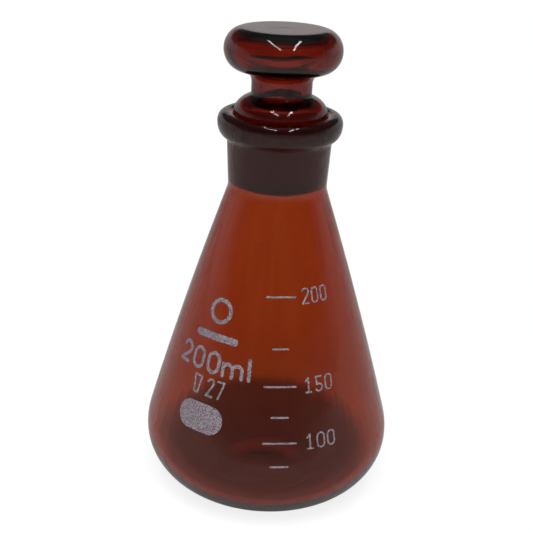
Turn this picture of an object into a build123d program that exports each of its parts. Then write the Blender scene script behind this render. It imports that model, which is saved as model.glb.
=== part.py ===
from build123d import *
import os
from math import acos, atan2, cos, degrees, hypot, pi, radians, sin, sqrt, tan

# Stoppered conical flask in amber glass, 200 ml, with a ground 1:10 socket.
# Millimetres. The flask stands on z = 0 with its axis on Z; its scale faces -Y.

# body of the flask
body_radius = 38.4          # at the widest ring
widest_height = 19.0        # height of that ring
rest_radius = 17.4          # where the heel leaves the table
rest_width = 3.2            # ring of glass that stands on the table
punt_rise = 2.4             # hollow under the middle of the base
shoulder_radius = 22.0      # bend from the heel into the cone
cone_bow_turn = 3.5         # degrees by which the cone's slight bow turns inwards
neck_foot_height = 98.6     # crease between cone and neck
body_wall = 2.1
base_wall = 2.8

# ground joint
socket_radius = 13.5        # large end: a 27 mm socket
socket_end_gap = 1.0        # the ground face ends this far above the neck's foot
taper = 0.05                # radius lost for each unit of depth: 1 in 10 on diameter
joint_clearance = 0.05

# neck and rim
neck_length = 22.4          # from its foot to the mouth
neck_foot_wall = 2.2
neck_top_wall = 2.0
rim_reach = 2.95            # how far the rim stands out from the neck
rim_skirt = 4.8             # from the rim's widest ring down to the neck
rim_corner = 1.9            # rounded outer corner: across
rim_crown = 2.8             # and up to the flat mouth
lip_width = 1.1             # round-over from the mouth into the socket: across
lip_drop = 1.4              # and down
crease_fillet = 1.4
rim_fillet = 0.8

# stopper
stopper_wall = 2.8
plug_overrun = 1.0          # the plug's closed end, below the ground face of the socket
plug_inner_corner = 0.8     # rounding of the closed end, inside
plug_shoulder = 0.8         # ground face carried above the large end
dome_overhang = 0.25        # the dome is this much wider than the socket
dome_flare = 0.6            # height over which it widens
dome_core_radius = 6.2
dome_rise = 5.4
stem_radius = 8.85
stem_flare = 3.4            # height over which the stem widens into the knob
knob_radius = 17.15
knob_core_radius = 11.75
knob_lift = 18.2            # middle of the knob above the mouth
knob_lower_half = 6.1
knob_upper_half = 6.0

# white enamel
enamel = 0.12               # thickness on the glass
enamel_seat = 0.01          # hair gap between enamel and glass
line_width = 0.55
long_line = 8.8             # at the topmost line
short_line = 4.7
long_volumes = (200, 150, 100)
short_volumes = (175, 125, 75)
print_spread = 0.013        # share by which the scale is wider for each mm of flask radius
numeral_height = 4.8
numeral_width = 2.4
numeral_stroke = 0.5
numeral_advance = 3.0
numeral_gap = 1.3           # between the topmost line and its numeral
numeral_drift = 0.09        # added to that gap for each mm of flask radius
label_azimuth = -41.5       # degrees round from the scale
capacity_height = 51.3      # middle of each row, above the table
capacity_size = 6.9
capacity_width = 4.7
capacity_stroke = 1.05
capacity_advance = 5.75
size_height = 44.0
size_size = 5.7
size_width = 2.7
size_stroke = 0.65
size_advance = 3.5
patch_height = 34.9
patch_length = 15.8
patch_depth = 8.6
bar_height = 58.6
bar_length = 15.0
bar_depth = 2.2
ring_height = 66.0
ring_radius = 3.9
ring_stroke = 1.2

overshoot = 3.0             # how far a cutter reaches past the enamel on each side
volume_step = 0.1           # slice height when the scale is worked out
passes = 30                 # rounds in which the cone's lean settles

# heights and radii worked out from the sizes above
mouth_height = neck_foot_height + neck_length
socket_top = mouth_height - lip_drop
socket_bottom = neck_foot_height + socket_end_gap
plug_bottom = socket_bottom - plug_overrun
plug_corner = stopper_wall + plug_inner_corner
dome_height = socket_top + plug_shoulder + dome_flare
dome_base_radius = socket_radius + dome_overhang
knob_middle_height = mouth_height + knob_lift
neck_top_radius = socket_radius + neck_top_wall
shoulder_centre = (body_radius - shoulder_radius, widest_height)


def joint_radius(z, clearance=0.0):
    return socket_radius - taper * (socket_top - z) - clearance


neck_foot_radius = joint_radius(socket_bottom) + neck_foot_wall


def shoulder_point(lean):
    return (shoulder_centre[0] + shoulder_radius * cos(lean),
            shoulder_centre[1] + shoulder_radius * sin(lean))


def settled_lean():
    # lean at which the shoulder hands over to the cone, so that the bow ends at the neck's foot
    lean = 0
    for _ in range(passes):
        foot = shoulder_point(lean)
        chord = atan2(foot[0] - neck_foot_radius, neck_foot_height - foot[1])
        lean = chord - radians(cone_bow_turn) / 2
    return lean


lean_low = settled_lean()
lean_high = lean_low + radians(cone_bow_turn)
cone_foot = shoulder_point(lean_low)
bow_radius = (neck_foot_height - cone_foot[1]) / (sin(lean_high) - sin(lean_low))
bow_centre = (cone_foot[0] - bow_radius * cos(lean_low),
              cone_foot[1] - bow_radius * sin(lean_low))


def bow_point(lean, inset=0.0, ahead=0.0):
    # point of the cone's slight bow where it leans so far, moved ahead along its tangent
    radius = bow_radius - inset
    return (bow_centre[0] + radius * cos(lean) - ahead * sin(lean),
            bow_centre[1] + radius * sin(lean) + ahead * cos(lean))


def wall_arcs(inset):
    # shoulder and cone, both parallel to the outer face and inset from it
    shoulder = CenterArc(shoulder_centre, shoulder_radius - inset, 0, degrees(lean_low))
    tangent_length = (bow_radius - inset) * tan((lean_high - lean_low) / 2)
    cone = Bezier(bow_point(lean_low, inset), bow_point(lean_low, inset, tangent_length),
                  bow_point(lean_high, inset))
    return shoulder, cone


def oval_arc(centre, width, height, start, sweep):
    return EllipticalCenterArc(centre, width, height, start, arc_size=sweep)


def revolved(edges):
    # edges run round a closed outline in (radius, height)
    face = make_face(edges)
    return revolve(Plane.XZ * face, Axis.Z, 360)


def outer_radius(z):
    # radius of the outer face at height z, from the shoulder to the neck
    if z < cone_foot[1]:
        return shoulder_centre[0] + sqrt(shoulder_radius ** 2 - (z - shoulder_centre[1]) ** 2)
    return bow_centre[0] + sqrt(bow_radius ** 2 - (z - bow_centre[1]) ** 2)


def inner_radius(z):
    # radius of the liquid space at height z, up to the foot of the neck
    if z < widest_height:
        depth = (widest_height - z) / (widest_height - base_wall)
        return rest_radius + (body_radius - body_wall - rest_radius) * sqrt(1 - depth ** 2)
    if z < cone_foot[1]:
        rise = z - shoulder_centre[1]
        return shoulder_centre[0] + sqrt((shoulder_radius - body_wall) ** 2 - rise ** 2)
    return bow_centre[0] + sqrt((bow_radius - body_wall) ** 2 - (z - bow_centre[1]) ** 2)


def height_of(volume):
    # level of that many millilitres standing in the flask
    z = base_wall
    held = -pi * rest_radius ** 2 * punt_rise / 2 / 1000
    while held < volume:
        held += pi * inner_radius(z + volume_step / 2) ** 2 * volume_step / 1000
        z += volume_step
    return z


def rounded(face, corner, radius):
    # fillet the one vertex of the face that is nearest to the corner
    nearest = min(face.vertices(), key=lambda v: hypot(v.X - corner[0], v.Y - corner[1]))
    return fillet(nearest, radius)


def flask_body():
    rest_inner = rest_radius - rest_width
    rim_middle = mouth_height - rim_crown
    rim_foot = (neck_top_radius, rim_middle - rim_skirt)
    corner_radius = neck_top_radius + rim_reach - rim_corner
    lip_radius = socket_radius + lip_width
    inner_foot = bow_point(lean_high, body_wall)
    outer_shoulder, outer_cone = wall_arcs(0)
    inner_shoulder, inner_cone = wall_arcs(body_wall)
    outline = [
        Spline((0, punt_rise), (rest_inner, 0), tangents=((1, 0), (1, -0.15))),
        Line((rest_inner, 0), (rest_radius, 0)),
        oval_arc((rest_radius, widest_height), body_radius - rest_radius, widest_height, -90, 90),
        outer_shoulder,
        outer_cone,
        Line((neck_foot_radius, neck_foot_height), rim_foot),
        oval_arc((neck_top_radius, rim_middle), rim_reach, rim_skirt, -90, 90),
        oval_arc((corner_radius, rim_middle), rim_corner, rim_crown, 0, 90),
        Line((corner_radius, mouth_height), (lip_radius, mouth_height)),
        oval_arc((lip_radius, socket_top), lip_width, lip_drop, 90, 90),
        Line((socket_radius, socket_top), (joint_radius(socket_bottom), socket_bottom)),
        Line((joint_radius(socket_bottom), socket_bottom), inner_foot),
        inner_cone,
        inner_shoulder,
        oval_arc((rest_radius, widest_height), body_radius - body_wall - rest_radius,
                 widest_height - base_wall, -90, 90),
        Spline((0, base_wall + punt_rise), (rest_radius, base_wall), tangents=((1, 0), (1, 0))),
        Line((0, punt_rise), (0, base_wall + punt_rise)),
    ]
    face = make_face(outline)
    face = rounded(face, (neck_foot_radius, neck_foot_height), crease_fillet)
    face = rounded(face, rim_foot, rim_fillet)
    return revolve(Plane.XZ * face, Axis.Z, 360)


def stopper_shape(inset):
    # the stopper's outer face, or its cavity when inset by the wall
    corner_height = plug_bottom + plug_corner
    corner_radius = joint_radius(corner_height, joint_clearance) - plug_corner
    plug_foot = (corner_radius + plug_corner - inset, corner_height)
    plug_head_height = socket_top + plug_shoulder
    plug_head = (joint_radius(plug_head_height, joint_clearance) - inset, plug_head_height)
    dome_width = dome_base_radius - inset - dome_core_radius
    stem_angle = acos((stem_radius - inset - dome_core_radius) / dome_width)
    dome_top = (stem_radius - inset, dome_height + (dome_rise - inset) * sin(stem_angle))
    flare_width = knob_core_radius - stem_radius
    stem_top_height = knob_middle_height - knob_lower_half - stem_flare
    knob_width = knob_radius - knob_core_radius - inset
    knob_top = knob_middle_height + knob_upper_half - inset
    outline = [
        Line((0, plug_bottom + inset), (corner_radius, plug_bottom + inset)),
        CenterArc((corner_radius, corner_height), plug_corner - inset, -90, 90),
        Line(plug_foot, plug_head),
        Line(plug_head, (dome_base_radius - inset, dome_height)),
        oval_arc((dome_core_radius, dome_height), dome_width, dome_rise - inset,
                 0, degrees(stem_angle)),
        Line(dome_top, (stem_radius - inset, stem_top_height)),
        oval_arc((knob_core_radius, stem_top_height), flare_width + inset,
                 stem_flare + inset, 90, 90),
        oval_arc((knob_core_radius, knob_middle_height), knob_width,
                 knob_lower_half - inset, -90, 90),
        oval_arc((knob_core_radius, knob_middle_height), knob_width,
                 knob_upper_half - inset, 0, 90),
        Line((knob_core_radius, knob_top), (0, knob_top)),
        Line((0, knob_top), (0, plug_bottom + inset)),
    ]
    return revolved(outline)


def stopper():
    return stopper_shape(0) - stopper_shape(stopper_wall)


def coat():
    # a skin of enamel over the whole shoulder and cone, for marks to be cut from
    under_shoulder, under_cone = wall_arcs(-enamel_seat)
    over_shoulder, over_cone = wall_arcs(-enamel_seat - enamel)
    outline = [
        under_shoulder,
        under_cone,
        over_shoulder,
        over_cone,
        Line(under_shoulder @ 0, over_shoulder @ 0),
        Line(under_cone @ 1, over_cone @ 1),
    ]
    return revolved(outline)


def place(azimuth, z):
    # plane on the glass: x runs to the right and z points out of the glass
    turn = radians(azimuth)
    lean = atan2(z - bow_centre[1], outer_radius(z) - bow_centre[0])
    out = (sin(turn) * cos(lean), -cos(turn) * cos(lean), sin(lean))
    origin = (outer_radius(z) * sin(turn), -outer_radius(z) * cos(turn), z)
    return Plane(origin=origin, x_dir=(cos(turn), sin(turn), 0), z_dir=out)


def printed(skin, sketch, azimuth, z):
    return skin & extrude(place(azimuth, z) * sketch, overshoot, both=True)


def turn_of(distance, z):
    # degrees round the glass for a distance along it
    return degrees(distance / outer_radius(z))


def bar(start, end, width):
    # straight stroke with round ends
    run = (end[0] - start[0], end[1] - start[1])
    middle = ((start[0] + end[0]) / 2, (start[1] + end[1]) / 2)
    slot = SlotCenterToCenter(hypot(*run), width)
    return Pos(*middle) * Rot(0, 0, degrees(atan2(run[1], run[0]))) * slot


def bend(centre, radius, start, sweep, width):
    return SlotArc(CenterArc(centre, radius, start, sweep), width)


def loop(z, radius, width):
    return Pos(0, z) * (Circle(radius + width / 2) - Circle(radius - width / 2))


def figure_0(w, h, stroke):
    return Rot(0, 0, 90) * (SlotOverall(h, w) - SlotOverall(h - 2 * stroke, w - 2 * stroke))


def figure_1(w, h, stroke):
    top = h / 2 - stroke / 2
    stem = bar((0, -top), (0, top), stroke)
    flag = bar((-0.3 * w, top - 0.2 * h), (0, top), stroke)
    foot = bar((-0.32 * w, -top), (0.32 * w, -top), stroke)
    return stem + flag + foot


def figure_2(w, h, stroke):
    r = w / 2 - stroke / 2
    top = h / 2 - stroke / 2 - r
    low = -h / 2 + stroke / 2
    leave = radians(-35)
    bowl = bend((0, top), r, -35, 195, stroke)
    slope = bar((r * cos(leave), top + r * sin(leave)), (-r, low), stroke)
    return bowl + slope + bar((-r, low), (r, low), stroke)


def figure_3(w, h, stroke):
    r = (h - stroke) / 4
    return bend((0, r), r, -90, 225, stroke) + bend((0, -r), r, -135, 225, stroke)


def figure_4(w, h, stroke):
    r = w / 2 - stroke / 2
    top = h / 2 - stroke / 2
    elbow = (-r, -top / 3)
    stem = bar((0.4 * r, -top), (0.4 * r, top), stroke)
    return stem + bar((0.4 * r, top), elbow, stroke) + bar(elbow, (r, -top / 3), stroke)


def figure_5(w, h, stroke):
    r = w / 2 - stroke / 2
    top = h / 2 - stroke / 2
    middle = -h / 2 + stroke / 2 + r
    join = radians(125)
    bowl = bend((0, middle), r, -150, 275, stroke)
    corner = (-0.75 * r, top)
    side = bar(corner, (r * cos(join), middle + r * sin(join)), stroke)
    return bowl + side + bar(corner, (0.85 * r, top), stroke)


def figure_6(w, h, stroke):
    r = (h - stroke) / 4
    return loop(-r, r, stroke) + bar((-r, -r), (0.3 * r, 2 * r), stroke)


def figure_7(w, h, stroke):
    top = h / 2 - stroke / 2
    r = w / 2 - stroke / 2
    return bar((-r, top), (r, top), stroke) + bar((r, top), (-0.35 * r, -top), stroke)


def figure_8(w, h, stroke):
    r = (h - stroke) / 4
    return loop(-r, r, stroke) + loop(r, r, stroke)


def figure_9(w, h, stroke):
    return Rot(0, 0, 180) * figure_6(w, h, stroke)


def letter_m(w, h, stroke):
    # x-height letter standing on the figures' foot line
    foot = -h / 2 + stroke / 2
    arch = w / 4 - stroke / 4
    crown = foot + 0.68 * h - stroke - arch
    strokes = bar((-2 * arch, foot), (-2 * arch, crown + arch), stroke)
    for side in (-1, 1):
        strokes += bend((side * arch, crown), arch, 0, 180, stroke)
        strokes += bar((side * arch + arch, foot), (side * arch + arch, crown), stroke)
    return strokes


def letter_l(w, h, stroke):
    return bar((0, -h / 2 + stroke / 2), (0, h / 2 - stroke / 2), stroke)


figures = {"0": figure_0, "1": figure_1, "2": figure_2, "3": figure_3, "4": figure_4,
           "5": figure_5, "6": figure_6, "7": figure_7, "8": figure_8, "9": figure_9}


def row_of(skin, text, azimuth, z, start, w, h, stroke, advance):
    # each figure faces straight out of the glass at its own place in the row
    row = []
    for n, letter in enumerate(text):
        place_along = start + (n + 0.5) * advance
        figure = figures[letter](w, h, stroke)
        row.append(printed(skin, figure, azimuth + turn_of(place_along, z), z))
    return row


def widening(z):
    # how much wider the flask is at height z than at the topmost line
    return outer_radius(z) - outer_radius(height_of(max(long_volumes)))


def spread(size, z):
    return size * (1 + print_spread * widening(z))


def line_length(volume):
    # overall, round ends included
    length = long_line if volume in long_volumes else short_line
    return spread(length, height_of(volume))


def graduation(skin, volume):
    reach = (line_length(volume) - line_width) / 2
    return printed(skin, bar((-reach, 0), (reach, 0), line_width), 0, height_of(volume))


def numeral(skin, volume):
    z = height_of(volume)
    start = line_length(volume) / 2 + numeral_gap + numeral_drift * widening(z)
    row = row_of(skin, str(volume), 0, z, start, spread(numeral_width, z), numeral_height,
                 numeral_stroke, spread(numeral_advance, z))
    return Compound(children=row)


def capacity_label(skin):
    # "200 ml": three figures, then the unit on the same foot line
    m_width = 1.5 * capacity_width
    gap = capacity_advance - capacity_width
    width = 3 * capacity_advance + m_width + gap + capacity_stroke
    row = row_of(skin, "200", label_azimuth, capacity_height, -width / 2, capacity_width,
                 capacity_size, capacity_stroke, capacity_advance)
    m_place = -width / 2 + 3 * capacity_advance + m_width / 2
    l_place = width / 2 - capacity_stroke / 2
    unit = ((letter_m, m_width, m_place), (letter_l, capacity_stroke, l_place))
    for letter, letter_width, along in unit:
        sketch = letter(letter_width, capacity_size, capacity_stroke)
        azimuth = label_azimuth + turn_of(along, capacity_height)
        row.append(printed(skin, sketch, azimuth, capacity_height))
    return Compound(children=row)


def joint_size_mark(skin):
    # a plain taper, wide end up, then the socket's diameter
    half = size_size / 2 - size_stroke / 2
    wide = size_width / 2
    narrow = wide / 2
    sign = bar((-wide, half), (wide, half), size_stroke)
    sign += bar((-wide, half), (-narrow, -half), size_stroke)
    sign += bar((wide, half), (narrow, -half), size_stroke)
    sign += bar((-narrow, -half), (narrow, -half), size_stroke)
    across = turn_of(-size_advance / 2 - wide, size_height)
    row = [printed(skin, sign, label_azimuth + across, size_height)]
    row += row_of(skin, str(round(2 * socket_radius)), label_azimuth, size_height, 0,
                  size_width, size_size, size_stroke, size_advance)
    return Compound(children=row)


def writing_patch(skin):
    return printed(skin, SlotOverall(patch_length, patch_depth), label_azimuth, patch_height)


def maker_mark(skin):
    ring = Circle(ring_radius) - Circle(ring_radius - ring_stroke)
    name_bar = SlotOverall(bar_length, bar_depth)
    row = [printed(skin, ring, label_azimuth, ring_height),
           printed(skin, name_bar, label_azimuth, bar_height)]
    return Compound(children=row)


def build():
    skin = coat()
    nodes = {
        "flask_body": flask_body(),
        "stopper": stopper(),
        "capacity_label": capacity_label(skin),
        "joint_size_mark": joint_size_mark(skin),
        "writing_patch": writing_patch(skin),
        "maker_mark": maker_mark(skin),
    }
    for volume in long_volumes + short_volumes:
        nodes[f"graduation_{volume}"] = graduation(skin, volume)
        print(volume, "ml stands at", round(height_of(volume), 1), "mm")
    for volume in long_volumes:
        nodes[f"numeral_{volume}"] = numeral(skin, volume)
    return nodes


os.makedirs("parts", exist_ok=True)
for name, shape in build().items():
    export_step(shape, f"parts/{name}.step")
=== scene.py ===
import math

import bpy
import numpy as np
from mathutils import Matrix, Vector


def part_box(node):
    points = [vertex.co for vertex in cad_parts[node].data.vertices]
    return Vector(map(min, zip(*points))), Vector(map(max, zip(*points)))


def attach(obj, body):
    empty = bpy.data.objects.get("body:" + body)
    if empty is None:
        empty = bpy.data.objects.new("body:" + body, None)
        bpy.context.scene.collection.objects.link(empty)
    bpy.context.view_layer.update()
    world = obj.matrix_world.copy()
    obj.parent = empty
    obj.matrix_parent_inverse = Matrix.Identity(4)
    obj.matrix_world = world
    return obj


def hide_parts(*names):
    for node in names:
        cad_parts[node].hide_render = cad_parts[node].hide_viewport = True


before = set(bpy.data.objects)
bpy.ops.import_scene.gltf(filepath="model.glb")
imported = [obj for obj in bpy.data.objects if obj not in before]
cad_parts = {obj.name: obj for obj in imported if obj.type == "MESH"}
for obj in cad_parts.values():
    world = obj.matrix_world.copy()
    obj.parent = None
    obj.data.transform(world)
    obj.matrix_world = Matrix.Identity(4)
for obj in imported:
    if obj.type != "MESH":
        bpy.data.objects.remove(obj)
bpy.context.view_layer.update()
mm = 0.001
sameSpot = 1e-3                  # mm; nearer points count as one


def arcOf(centre, width, height, start, sweep, steps):
    # points of an oval arc: centre + (width cos a, height sin a), a in degrees from start over sweep
    a = np.radians(start + sweep * np.linspace(0, 1, steps))
    return np.column_stack((centre[0] + width * np.cos(a), centre[1] + height * np.sin(a)))


def lineOf(start, end, steps):
    # start (1 - t) + end t
    t = np.linspace(0, 1, steps)[:, None]
    return np.array(start) * (1 - t) + np.array(end) * t


def easeOf(start, end, steps):
    # from start to end, level at both ends: height follows 3t^2 - 2t^3
    t = np.linspace(0, 1, steps)
    s = t * t * (3 - 2 * t)
    return np.column_stack((start[0] + (end[0] - start[0]) * t, start[1] + (end[1] - start[1]) * s))


def joined(*stretches):
    # stretches end to end, leaving out points that repeat
    points = np.concatenate(stretches)
    keep = np.r_[True, np.hypot(*np.diff(points, axis=0).T) > sameSpot]
    return points[keep]


def softened(points, reach):
    # corners eased: each point becomes half itself and a quarter of the outline a reach ahead and
    # a reach behind it, less so within a reach of the ends, which are held
    s = np.r_[0, np.cumsum(np.hypot(*np.diff(points, axis=0).T))]
    ahead = np.column_stack([np.interp(np.minimum(s + reach, s[-1]), s, p) for p in points.T])
    behind = np.column_stack([np.interp(np.maximum(s - reach, 0), s, p) for p in points.T])
    room = np.clip(np.minimum(s, s[-1] - s) / reach, 0, 1)[:, None]
    return points * (1 - 0.5 * room) + 0.25 * room * (ahead + behind)


def spun(outline, turns, ripple=None, flip=False):
    # surface of revolution: (r cos t, r sin t, z) for each outline point (r, z) and each turn t,
    # with what ripple gives at that place added to r
    # the outline starts and ends on the axis, where one point closes each pole
    t = np.linspace(0, 2 * np.pi, turns, endpoint=False)
    r, z = outline[1:-1].T
    rr = np.repeat(r[:, None], turns, 1)
    if ripple is not None:
        rr = rr + ripple(r[:, None], z[:, None], t[None])
    grid = np.stack((rr * np.cos(t), rr * np.sin(t), np.repeat(z[:, None], turns, 1)), -1)
    verts = np.concatenate((grid.reshape(-1, 3), [(0, 0, outline[0, 1]), (0, 0, outline[-1, 1])])) * mm
    rows = len(r)
    k = np.arange(rows - 1)[:, None] * turns
    j = np.arange(turns)[None]
    n = (j + 1) % turns
    quads = np.stack((k + j, k + n, k + turns + n, k + turns + j), -1).reshape(-1, 4)
    first, last = rows * turns, rows * turns + 1
    caps = np.concatenate((
        np.stack((np.full(turns, first), n[0], j[0]), -1),
        np.stack((np.full(turns, last), (rows - 1) * turns + j[0], (rows - 1) * turns + n[0]), -1)))
    if flip:
        quads, caps = quads[:, ::-1], caps[:, ::-1]
    return verts, quads, caps


def meshPiece(name, shells):
    # one mesh from closed shells, all smooth
    mesh = bpy.data.meshes.new(name)
    verts, loops, starts, count = [], [], [], 0
    base = 0
    for shellVerts, quads, caps in shells:
        verts.append(shellVerts)
        for faces in (quads, caps):
            size = faces.shape[1]
            starts.append(base + np.arange(len(faces)) * size)
            base += faces.size
            loops.append((faces + count).ravel())
        count += len(shellVerts)
    verts = np.concatenate(verts)
    loops, starts = np.concatenate(loops), np.concatenate(starts)
    mesh.vertices.add(len(verts))
    mesh.vertices.foreach_set("co", verts.ravel())
    mesh.loops.add(len(loops))
    mesh.loops.foreach_set("vertex_index", loops.astype(np.int32))
    mesh.polygons.add(len(starts))
    mesh.polygons.foreach_set("loop_start", starts.astype(np.int32))
    mesh.update(calc_edges=True)
    mesh.validate()
    mesh.shade_smooth()
    piece = bpy.data.objects.new(name, mesh)
    bpy.context.scene.collection.objects.link(piece)
    return piece


def markZone(piece, name, values):
    # one number a point, for a finish that covers part of a piece
    layer = piece.data.attributes.new(name, "FLOAT", "POINT")
    layer.data.foreach_set("value", values.astype(np.float32))


def stepUp(x, low, high):
    # 0 below low, 1 above high, 3t^2 - 2t^3 between
    t = np.clip((x - low) / (high - low), 0, 1)
    return t * t * (3 - 2 * t)


def linear(hexColour):
    # sRGB hex to linear light
    s = np.array([int(hexColour[i:i + 2], 16) for i in (1, 3, 5)]) / 255
    return (*np.where(s <= 0.04045, s / 12.92, ((s + 0.055) / 1.055) ** 2.4), 1.0)


def addNode(owner, kind, settings=None, links=None):
    # a node with its plain settings, then its links as {input: output socket}
    tree = owner.node_tree
    node = tree.nodes.new(kind)
    for key, value in (settings or {}).items():
        if key in node.inputs.keys() or isinstance(key, int):
            node.inputs[key].default_value = value
        else:
            setattr(node, key, value)
    for key, socket in (links or {}).items():
        tree.links.new(socket, node.inputs[key])
    return node


def newMaterial(name):
    material = bpy.data.materials.new(name)
    material.use_nodes = True
    material.node_tree.nodes.clear()
    return material


amberGlass = {
    "ior": 1.517,
    "density": 1150.0,           # light lost in each metre, before the colour's share
    "colour": (0.868, 0.445, 0.03, 1),
    "stopperColour": (0.805, 0.34, 0.03, 1),
    "clearRoughness": 0.01,
    "groundRoughness": 0.95,
    "rippleSize": 7.0,           # mm between the soft waves that blowing leaves
    "rippleDepth": 0.05,         # mm
    "dragLines": 11.0,           # fine lines to each radian, drawn coarser than real ones to show
    "dragDrift": 0.004,          # radians that the lines change by in each mm of height
    "dragDepth": 0.05,           # mm
}


def amberGlassMaterial(name, colour):
    # soda-lime glass coloured in the melt and blown: clear and deep, with soft waves in its face
    # the ground zone is cut with grit and scatters what passes, which makes it look dark and matt
    material = newMaterial(name)
    s = amberGlass
    place = addNode(material, "ShaderNodeTexCoord")
    zone = addNode(material, "ShaderNodeAttribute", {"attribute_name": "ground"})
    rough = addNode(material, "ShaderNodeMapRange",
                    {"To Min": s["clearRoughness"], "To Max": s["groundRoughness"]},
                    {"Value": zone.outputs["Fac"]})
    waves = addNode(material, "ShaderNodeTexNoise",
                    {"Scale": 1 / (s["rippleSize"] * mm), "Detail": 1.0, "Roughness": 0.4},
                    {"Vector": place.outputs["Object"]})
    soft = addNode(material, "ShaderNodeBump",
                   {"Strength": 1.0, "Distance": s["rippleDepth"] * mm},
                   {"Height": waves.outputs["Fac"]})
    # (x, y) / r + z * drift: the same all the way up a straight line of the cone, but for the drift
    level = addNode(material, "ShaderNodeVectorMath", {"operation": "MULTIPLY", 1: (1, 1, 0)},
                    {0: place.outputs["Object"]})
    bearing = addNode(material, "ShaderNodeVectorMath", {"operation": "NORMALIZE"},
                      {0: level.outputs["Vector"]})
    along = addNode(material, "ShaderNodeVectorMath",
                    {"operation": "MULTIPLY_ADD", 1: (0, 0, s["dragDrift"] / mm)},
                    {0: place.outputs["Object"], 2: bearing.outputs["Vector"]})
    lines = addNode(material, "ShaderNodeTexNoise",
                    {"Scale": s["dragLines"], "Detail": 1.0, "Roughness": 0.5},
                    {"Vector": along.outputs["Vector"]})
    bump = addNode(material, "ShaderNodeBump",
                   {"Strength": 1.0, "Distance": s["dragDepth"] * mm},
                   {"Height": lines.outputs["Fac"], "Normal": soft.outputs["Normal"]})
    glass = addNode(material, "ShaderNodeBsdfPrincipled",
                    {"Base Color": (1, 1, 1, 1), "IOR": s["ior"], "Transmission Weight": 1.0},
                    {"Roughness": rough.outputs["Result"], "Normal": bump.outputs["Normal"]})
    inside = addNode(material, "ShaderNodeVolumeAbsorption",
                     {"Color": colour, "Density": s["density"]})
    addNode(material, "ShaderNodeOutputMaterial", None,
            {"Surface": glass.outputs["BSDF"], "Volume": inside.outputs["Volume"]})
    return material


whiteEnamel = {
    "lit": "#938a92",
    "shaded": "#4a3c43",
    "grain": 0.38,               # mm, drawn coarser than the powder it was fired from so that it shows
    "grainEdge": (0.42, 0.56),   # where the noise turns from shaded to lit
    "relief": 0.05,              # mm
    "reliefStrength": 0.6,
    "roughness": 0.6,
    "ior": 1.5,
}


def whiteEnamelMaterial():
    # screen-printed glass enamel, fired on: chalky and grainy, and darker where it lies thin and
    # the amber shows through
    material = newMaterial("fired_white_enamel")
    s = whiteEnamel
    place = addNode(material, "ShaderNodeTexCoord")
    grain = addNode(material, "ShaderNodeTexNoise",
                    {"Scale": 1 / (s["grain"] * mm), "Detail": 3.0, "Roughness": 0.65},
                    {"Vector": place.outputs["Object"]})
    ramp = addNode(material, "ShaderNodeValToRGB", None, {"Fac": grain.outputs["Fac"]})
    stops = ramp.color_ramp.elements
    for stop, position, tone in zip(stops, s["grainEdge"], (s["shaded"], s["lit"])):
        stop.position = position
        stop.color = linear(tone)
    bump = addNode(material, "ShaderNodeBump",
                   {"Strength": s["reliefStrength"], "Distance": s["relief"] * mm},
                   {"Height": grain.outputs["Fac"]})
    enamel = addNode(material, "ShaderNodeBsdfPrincipled",
                     {"Roughness": s["roughness"], "IOR": s["ior"]},
                     {"Base Color": ramp.outputs["Color"], "Normal": bump.outputs["Normal"]})
    addNode(material, "ShaderNodeOutputMaterial", None, {"Surface": enamel.outputs["BSDF"]})
    return material


flaskGlass = amberGlassMaterial("blown_amber_glass", amberGlass["colour"])
stopperGlass = amberGlassMaterial("stopper_amber_glass", amberGlass["stopperColour"])
enamelMaterial = whiteEnamelMaterial()
print("materials made")

bodyLow, bodyHigh = (np.array(c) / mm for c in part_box("flask_body"))
stopperLow, stopperHigh = (np.array(c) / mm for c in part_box("stopper"))

flask = {                        # mm and degrees
    "bodyRadius": (bodyHigh[0] - bodyLow[0]) / 2,
    "mouthHeight": bodyHigh[2],
    "widestHeight": 19.0,
    "restRadius": 17.4,
    "restWidth": 3.2,
    "puntRise": 2.4,
    "shoulderRadius": 22.0,
    "coneLeanLow": 15.5,         # lean of the cone's side where it leaves the shoulder
    "neckFootRadius": 14.7,
    "neckFootHeight": 98.6,
    "bodyWall": 2.1,
    "baseWall": 2.8,
    "neckTopRadius": 15.5,
    "rimReach": 2.95,            # how far the rim stands out from the neck
    "rimSkirt": 4.8,
    "rimCorner": 1.9,
    "rimCrown": 2.8,
    "lipWidth": 1.1,
    "lipDrop": 1.4,
    "socketRadius": 13.5,
    "socketLength": 20.0,
    "taper": 0.05,               # change of radius in each mm of height
    "groundFoot": (-0.1, 0.5),   # over which the matt zone starts, from the socket's lower end
    "groundHead": (-0.4, 0.2),   # and over which it stops, from its upper end
    "softOuter": 0.9,
    "softInner": 0.7,
    "waves": {
        "depth": 0.26,
        "counts": (13, 19, 26, 33, 41),  # round the glass
        "lean": 0.006,           # turn in each mm of height
        "quiet": 0.08,           # share of the waves left at the sides
        "rise": (22, 70),        # heights between which they grow from nothing
        "top": 98.6,
        "end": 6,                # they die out over this much below the top
        "seed": 4,
    },
    "turns": 270,
    "steps": {                   # points in each stretch of the outline
        "punt": 24, "rest": 4, "heel": 40, "shoulder": 10, "cone": 48, "neck": 24,
        "rimUnder": 24, "rimOver": 16, "mouth": 8, "lip": 12, "socket": 30,
    },
}


def coneBow():
    # the cone's side is a very slight bow: centre, radius and the leans at its two ends
    f = flask
    centreR, centreZ = f["bodyRadius"] - f["shoulderRadius"], f["widestHeight"]
    low = math.radians(f["coneLeanLow"])
    foot = (centreR + f["shoulderRadius"] * math.cos(low), centreZ + f["shoulderRadius"] * math.sin(low))
    chord = math.atan2(foot[0] - f["neckFootRadius"], f["neckFootHeight"] - foot[1])
    high = 2 * chord - low
    radius = (f["neckFootHeight"] - foot[1]) / (math.sin(high) - math.sin(low))
    return (foot[0] - radius * math.cos(low), foot[1] - radius * math.sin(low)), radius, low, high


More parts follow.
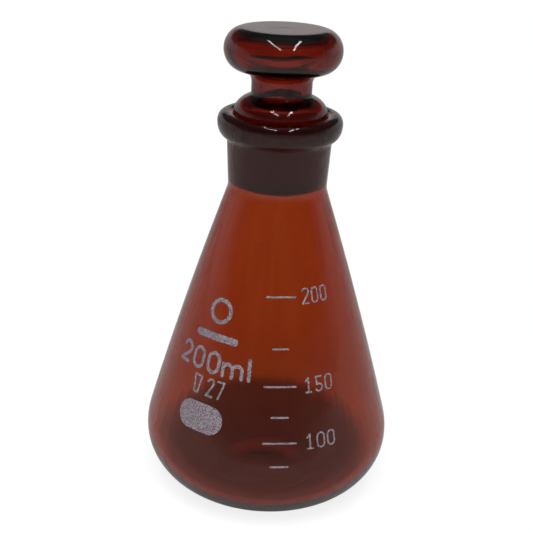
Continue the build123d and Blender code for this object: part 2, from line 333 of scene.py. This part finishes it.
def wallOutline(inset, floorInset):
    # three arcs that run into each other, all inset from the outer face: an oval heel up from the
    # table, a round shoulder, and the slight bow of the cone up to the neck
    f, steps = flask, flask["steps"]
    centre, radius, low, high = coneBow()
    heel = arcOf((f["restRadius"], f["widestHeight"]), f["bodyRadius"] - f["restRadius"] - inset,
                 f["widestHeight"] - floorInset, -90, 90, steps["heel"])
    shoulder = arcOf((f["bodyRadius"] - f["shoulderRadius"], f["widestHeight"]),
                     f["shoulderRadius"] - inset, f["shoulderRadius"] - inset,
                     0, math.degrees(low), steps["shoulder"])
    cone = arcOf(centre, radius - inset, radius - inset,
                 math.degrees(low), math.degrees(high - low), steps["cone"])
    return joined(heel, shoulder, cone)


def flaskOutline():
    # outer face from the middle of the base out, up and over the rim, then the inner face from the
    # socket down to the middle of the floor, as points (radius, height)
    f, steps = flask, flask["steps"]
    restInner = f["restRadius"] - f["restWidth"]
    rimMiddle = f["mouthHeight"] - f["rimCrown"]
    cornerRadius = f["neckTopRadius"] + f["rimReach"] - f["rimCorner"]
    lipRadius = f["socketRadius"] + f["lipWidth"]
    socketTop = f["mouthHeight"] - f["lipDrop"]
    socketBottom = socketTop - f["socketLength"]
    socketFoot = f["socketRadius"] - f["taper"] * f["socketLength"]
    outer = joined(
        easeOf((0, f["puntRise"]), (restInner, 0), steps["punt"]),
        lineOf((restInner, 0), (f["restRadius"], 0), steps["rest"]),
        wallOutline(0, 0),
        lineOf((f["neckFootRadius"], f["neckFootHeight"]),
               (f["neckTopRadius"], rimMiddle - f["rimSkirt"]), steps["neck"]),
        arcOf((f["neckTopRadius"], rimMiddle), f["rimReach"], f["rimSkirt"], -90, 90,
              steps["rimUnder"]),
        arcOf((cornerRadius, rimMiddle), f["rimCorner"], f["rimCrown"], 0, 90, steps["rimOver"]),
        lineOf((cornerRadius, f["mouthHeight"]), (lipRadius, f["mouthHeight"]), steps["mouth"]),
        arcOf((lipRadius, socketTop), f["lipWidth"], f["lipDrop"], 90, 90, steps["lip"]))
    inner = joined(
        lineOf((f["socketRadius"], socketTop), (socketFoot, socketBottom), steps["socket"]),
        wallOutline(f["bodyWall"], f["baseWall"])[::-1],
        easeOf((f["restRadius"], f["baseWall"]), (0, f["baseWall"] + f["puntRise"]), steps["punt"]))
    return softened(outer, f["softOuter"]), softened(inner, f["softInner"])


def blownWaves(w):
    # uneven wall: a sum of sines of n (t + lean z) + phase, each as large as its draw over root n,
    # strongest at the front and back and dying out below and above
    rng = np.random.default_rng(w["seed"])
    waves = [(n, rng.uniform(-1, 1) * w["lean"], rng.uniform(0, 2 * np.pi), rng.uniform(0.5, 1))
             for n in w["counts"]]

    def ripple(r, z, t):
        total = sum(a / np.sqrt(n) * np.sin(n * (t + lean * z) + phase) for n, lean, phase, a in waves)
        drag = w["quiet"] + (1 - w["quiet"]) * np.sin(t) ** 2
        return w["depth"] * total * drag * stepUp(z, *w["rise"]) * stepUp(w["top"] - z, 0, w["end"])
    return ripple


def buildFlask():
    f = flask
    outer, inner = flaskOutline()
    outline = joined(outer, inner)
    isInner = (np.arange(len(outline)) >= len(outer))[1:-1]
    thick = blownWaves(f["waves"])

    def ripple(r, z, t):
        return thick(r, z, t) * isInner[:, None]
    piece = meshPiece("amber_flask", [spun(outline, f["turns"], ripple)])
    socketTop = f["mouthHeight"] - f["lipDrop"]
    z = outline[1:-1, 1]
    foot, head = z - socketTop + f["socketLength"], z - socketTop
    ground = isInner * stepUp(foot, *f["groundFoot"]) * (1 - stepUp(head, *f["groundHead"]))
    values = np.concatenate((np.repeat(ground, f["turns"]), [0, 0]))
    markZone(piece, "ground", values)
    piece.data.materials.append(flaskGlass)
    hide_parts("flask_body")
    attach(piece, "flask")
    return piece


flaskPiece = buildFlask()
print("flask spun")

stopper = {                      # mm
    "wall": 2.8,
    "plugCorner": 3.6,
    "plugShoulder": 0.8,         # how far the plug goes on above the socket
    "clearance": 0.05,
    "domeBaseRadius": 13.75,
    "domeCoreRadius": 6.2,
    "domeRise": 5.4,
    "domeLift": 0.6,             # from the plug's upper end to the widest of the dome
    "stemRadius": 8.85,
    "flareHeight": 3.4,
    "knobRadius": (stopperHigh[0] - stopperLow[0]) / 2,
    "knobCoreRadius": 11.75,
    "knobUpperHalf": 6.0,
    "knobLowerHalf": 6.1,
    "waves": {
        "depth": 0.32,
        "counts": (2, 3, 5, 8, 13),
        "lean": 0.05,
        "quiet": 0.6,
        "rise": (118, 128),
        "top": 144.0,
        "end": 3,
        "seed": 11,
    },
    "groundFoot": (2.2, 3.0),    # over which the matt zone starts, from the plug's lower end
    "groundHead": (-0.3, 0.2),   # and over which it stops, from the plug's upper end
    "soft": 0.7,
    "turns": 240,
    "steps": {
        "end": 12, "plugCorner": 12, "plug": 30, "dome": 24, "stem": 12, "flare": 14, "knob": 28,
        "disc": 12,
    },
}


def stopperOutline(inset):
    # plug, dome, stem and knob from the middle of the lower end to the middle of the flat top, as
    # points (radius, height), all inset from the outer face: straight lines joined by oval arcs
    s, f, steps = stopper, flask, stopper["steps"]
    socketTop = f["mouthHeight"] - f["lipDrop"]
    plugBottom = stopperLow[2]

    def plugRadius(z):
        return f["socketRadius"] - f["taper"] * (socketTop - z) - s["clearance"]
    cornerZ = plugBottom + s["plugCorner"]
    cornerR = plugRadius(cornerZ) - s["plugCorner"]
    headZ = socketTop + s["plugShoulder"]
    domeZ = headZ + s["domeLift"]
    domeWidth = s["domeBaseRadius"] - inset - s["domeCoreRadius"]
    stemAngle = math.degrees(math.acos((s["stemRadius"] - inset - s["domeCoreRadius"]) / domeWidth))
    knobZ = stopperHigh[2] - s["knobUpperHalf"]
    flareWidth = s["knobCoreRadius"] - s["stemRadius"]
    stemTop = knobZ - s["knobLowerHalf"] - s["flareHeight"]
    dome = arcOf((s["domeCoreRadius"], domeZ), domeWidth, s["domeRise"] - inset, 0, stemAngle,
                 steps["dome"])
    knobWidth = s["knobRadius"] - s["knobCoreRadius"] - inset
    cornerSize = s["plugCorner"] - inset
    knobTop = stopperHigh[2] - inset
    outline = joined(
        lineOf((0, plugBottom + inset), (cornerR, plugBottom + inset), steps["end"]),
        arcOf((cornerR, cornerZ), cornerSize, cornerSize, -90, 90, steps["plugCorner"]),
        lineOf((plugRadius(cornerZ) - inset, cornerZ), (plugRadius(headZ) - inset, headZ),
               steps["plug"]),
        dome,
        lineOf(dome[-1], (s["stemRadius"] - inset, stemTop), steps["stem"]),
        arcOf((s["knobCoreRadius"], stemTop), flareWidth + inset, s["flareHeight"] + inset, 180, -90,
              steps["flare"]),
        arcOf((s["knobCoreRadius"], knobZ), knobWidth, s["knobLowerHalf"] - inset, -90, 90,
              steps["knob"]),
        arcOf((s["knobCoreRadius"], knobZ), knobWidth, s["knobUpperHalf"] - inset, 0, 90,
              steps["knob"]),
        lineOf((s["knobCoreRadius"], knobTop), (0, knobTop), steps["disc"]))
    return softened(outline, s["soft"])


def buildStopper():
    s, f = stopper, flask
    outer, cavity = stopperOutline(0), stopperOutline(s["wall"])
    turns = s["turns"]
    shells = [spun(outer, turns), spun(cavity, turns, blownWaves(s["waves"]), flip=True)]
    piece = meshPiece("amber_stopper", shells)
    headZ = f["mouthHeight"] - f["lipDrop"] + s["plugShoulder"]
    z = outer[1:-1, 1]
    foot, head = z - stopperLow[2], z - headZ
    ground = stepUp(foot, *s["groundFoot"]) * (1 - stepUp(head, *s["groundHead"]))
    values = np.concatenate((np.repeat(ground, turns), [0, 0], np.zeros(len(shells[1][0]))))
    markZone(piece, "ground", values)
    piece.data.materials.append(stopperGlass)
    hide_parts("stopper")
    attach(piece, "stopper")
    return piece


stopperPiece = buildStopper()
print("stopper spun")

for name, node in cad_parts.items():
    if name in ("flask_body", "stopper"):
        continue
    for slot in node.material_slots:
        slot.material = enamelMaterial

studio = {
    "floorHalf": 4.0,            # metres
    "floorSeen": "#fbfbfa",
    "floorGlow": 0.85,           # share of the seen floor that glows, which softens the shadow
    "floorFelt": "#94918f",      # the same floor as the glass shows and mirrors it
    "floorPaintedFalloff": "#747270",       # and further to the front: painted falloff of light, darker where the light would have fallen off
    "floorFade": (-0.62, -0.28),  # along Y
    "floorPaintedShadow": "#343231",     # painted shadow: darker under and behind the flask, where the flask keeps the light off it
    "paintedShadowBehind": 0.026,        # middle of that painted shadow patch, along Y
    "paintedShadowReach": (0.032, 0.047),  # where it ends, from its middle
    "floorShade": 0.095,         # glow that the shaded floor keeps
    "backLight": 0.50,           # pale wall behind
    "backTop": (0.20, 0.36),     # where it fades into the dark above, as a sine
    "frontLight": 0.26,          # the room in front, at the floor
    "frontTop": (-0.02, 0.13),   # where it fades, as a sine
    "highLight": 0.065,          # above both
    "overLight": 0.13,           # and more of it straight overhead
    "overBottom": (0.74, 0.93),  # where it begins, as a sine
    "wallSide": (-0.5, 0.35),    # where the front turns into the back, along Y
    "tubePower": 4.5,            # each of two strip lights overhead, running front to back
    "tubeLength": 1.7,           # metres
    "tubeWidth": 0.05,
    "tubeApart": 0.7,
    "tubeMiddle": (-0.75, 1.25),  # along Y, and above the floor
    "sunPower": 3.3,
    "sunUp": 60.0,               # degrees
    "sunRound": -8.0,
    "sunSize": 30.0,             # degrees across, for a soft edge
    "white": (1, 1, 1, 1),
}


def buildFloor():
    # pale board; through and in the glass it is greyer, with painted falloff of light towards the front
    # and a painted shadow where the flask keeps the light off
    s = studio
    h = s["floorHalf"]
    mesh = bpy.data.meshes.new("floor")
    mesh.from_pydata([(-h, -h, 0), (h, -h, 0), (h, h, 0), (-h, h, 0)], [], [(0, 1, 2, 3)])
    floor = bpy.data.objects.new("floor", mesh)
    bpy.context.scene.collection.objects.link(floor)
    material = newMaterial("pale_board")
    path = addNode(material, "ShaderNodeLightPath")
    paint = addNode(material, "ShaderNodeBsdfDiffuse", {"Color": linear(s["floorSeen"])})
    glow = addNode(material, "ShaderNodeEmission", {"Color": s["white"], "Strength": 1.0})
    seen = addNode(material, "ShaderNodeMixShader", {0: s["floorGlow"]},
                   {1: paint.outputs["BSDF"], 2: glow.outputs["Emission"]})
    place = addNode(material, "ShaderNodeTexCoord")
    axes = addNode(material, "ShaderNodeSeparateXYZ", None, {"Vector": place.outputs["Object"]})
    # painted falloff of light: the floor as the glass sees it darkens towards the front
    fade = addNode(material, "ShaderNodeMapRange",
                   {"interpolation_type": "SMOOTHSTEP", "From Min": s["floorFade"][0],
                    "From Max": s["floorFade"][1]}, {"Value": axes.outputs["Y"]})
    tone = addNode(material, "ShaderNodeMix", {"data_type": "RGBA"}, {0: fade.outputs["Result"]})
    tone.inputs[6].default_value = linear(s["floorPaintedFalloff"])
    tone.inputs[7].default_value = linear(s["floorFelt"])
    # painted shadow: a dark round patch in the floor's colour under and just behind the flask
    shift = addNode(material, "ShaderNodeMapping", {"Location": (0, -s["paintedShadowBehind"], 0)},
                    {"Vector": place.outputs["Object"]})
    reach = addNode(material, "ShaderNodeVectorMath", {"operation": "LENGTH"},
                    {0: shift.outputs["Vector"]})
    close = addNode(material, "ShaderNodeMapRange",
                    {"interpolation_type": "SMOOTHSTEP", "From Min": s["paintedShadowReach"][0],
                     "From Max": s["paintedShadowReach"][1]}, {"Value": reach.outputs["Value"]})
    under = addNode(material, "ShaderNodeMix", {"data_type": "RGBA"},
                    {0: close.outputs["Result"], 7: tone.outputs[2]})
    under.inputs[6].default_value = linear(s["floorPaintedShadow"])
    felt = addNode(material, "ShaderNodeBsdfPrincipled",
                   {"Roughness": 1.0, "Specular IOR Level": 0.0, "Emission Color": s["white"],
                    "Emission Strength": s["floorShade"]}, {"Base Color": under.outputs[2]})
    both = addNode(material, "ShaderNodeMixShader", None,
                   {0: path.outputs["Is Camera Ray"], 1: felt.outputs["BSDF"],
                    2: seen.outputs["Shader"]})
    addNode(material, "ShaderNodeOutputMaterial", None, {"Surface": both.outputs["Shader"]})
    mesh.materials.append(material)


def buildWorld():
    # the room that the glass shows: a pale wall behind, dimmer in front, darker above both and a
    # little lighter overhead; where no glass is in the way the surroundings are plain white
    w = studio
    world = bpy.data.worlds.new("studio")
    bpy.context.scene.world = world
    world.use_nodes = True
    world.node_tree.nodes.clear()
    place = addNode(world, "ShaderNodeTexCoord")
    axes = addNode(world, "ShaderNodeSeparateXYZ", None, {"Vector": place.outputs["Generated"]})
    side = addNode(world, "ShaderNodeMapRange",
                   {"interpolation_type": "SMOOTHSTEP", "From Min": w["wallSide"][0],
                    "From Max": w["wallSide"][1]}, {"Value": axes.outputs["Y"]})
    back = addNode(world, "ShaderNodeMapRange",
                   {"interpolation_type": "SMOOTHSTEP", "From Min": w["backTop"][0],
                    "From Max": w["backTop"][1], "To Min": w["backLight"], "To Max": w["highLight"]},
                   {"Value": axes.outputs["Z"]})
    front = addNode(world, "ShaderNodeMapRange",
                    {"From Min": w["frontTop"][0], "From Max": w["frontTop"][1],
                     "To Min": w["frontLight"], "To Max": w["highLight"]}, {"Value": axes.outputs["Z"]})
    light = addNode(world, "ShaderNodeMix", {"data_type": "FLOAT"},
                    {0: side.outputs["Result"], 2: front.outputs["Result"], 3: back.outputs["Result"]})
    over = addNode(world, "ShaderNodeMapRange",
                   {"interpolation_type": "SMOOTHSTEP", "From Min": w["overBottom"][0],
                    "From Max": w["overBottom"][1], "To Max": w["overLight"]},
                   {"Value": axes.outputs["Z"]})
    room = addNode(world, "ShaderNodeMath", {"operation": "ADD"},
                   {0: light.outputs[0], 1: over.outputs["Result"]})
    path = addNode(world, "ShaderNodeLightPath")
    seen = addNode(world, "ShaderNodeMix", {"data_type": "FLOAT"},
                   {0: path.outputs["Is Camera Ray"], 2: room.outputs["Value"]})
    seen.inputs[3].default_value = 1.0
    sky = addNode(world, "ShaderNodeBackground", {"Color": w["white"]},
                  {"Strength": seen.outputs[0]})
    addNode(world, "ShaderNodeOutputWorld", None, {"Surface": sky.outputs["Background"]})


def buildTubes():
    # two strip lights overhead that run past the flask towards the front
    w = studio
    for side in (-1, 1):
        lamp = bpy.data.lights.new("tube", "AREA")
        lamp.shape = "RECTANGLE"
        lamp.size = w["tubeWidth"]
        lamp.size_y = w["tubeLength"]
        lamp.energy = w["tubePower"]
        thing = bpy.data.objects.new("tube", lamp)
        thing.matrix_world = Matrix.Translation((side * w["tubeApart"] / 2, *w["tubeMiddle"]))
        thing.visible_transmission = False
        bpy.context.scene.collection.objects.link(thing)


def buildSun():
    # soft overhead key, unseen in and through the glass
    w = studio
    lamp = bpy.data.lights.new("key", "SUN")
    lamp.energy = w["sunPower"]
    lamp.angle = math.radians(w["sunSize"])
    thing = bpy.data.objects.new("key", lamp)
    thing.matrix_world = (Matrix.Rotation(math.radians(w["sunRound"]), 4, "Z")
                          @ Matrix.Rotation(math.radians(90 - w["sunUp"]), 4, "X"))
    thing.visible_glossy = False
    thing.visible_transmission = False
    bpy.context.scene.collection.objects.link(thing)


camera = {
    "distance": 0.3060,          # from the axis, along the floor
    "height": 0.19355,
    "round": 6.6,                # degrees that the camera stands to the left of the scale
    "pan": -0.4,                 # degrees
    "down": 21.6,
    "roll": 2.52,
    "lens": 72.17,               # mm
    "sensor": 36.0,
    "nearest": 0.01,
}


def buildCamera():
    c = camera
    data = bpy.data.cameras.new("camera")
    data.lens = c["lens"]
    data.sensor_width = c["sensor"]
    data.clip_start = c["nearest"]
    thing = bpy.data.objects.new("camera", data)
    around = math.radians(c["round"])
    place = (-c["distance"] * math.sin(around), -c["distance"] * math.cos(around), c["height"])
    heading = math.radians(c["pan"]) + around
    turn = (Matrix.Rotation(-heading, 4, "Z") @ Matrix.Rotation(math.radians(90 - c["down"]), 4, "X")
            @ Matrix.Rotation(math.radians(c["roll"]), 4, "Z"))
    thing.matrix_world = Matrix.Translation(place) @ turn
    bpy.context.scene.collection.objects.link(thing)
    bpy.context.scene.camera = thing


buildFloor()
buildWorld()
buildCamera()
buildSun()
buildTubes()
bpy.context.scene.view_settings.view_transform = "Standard"
print("studio set")
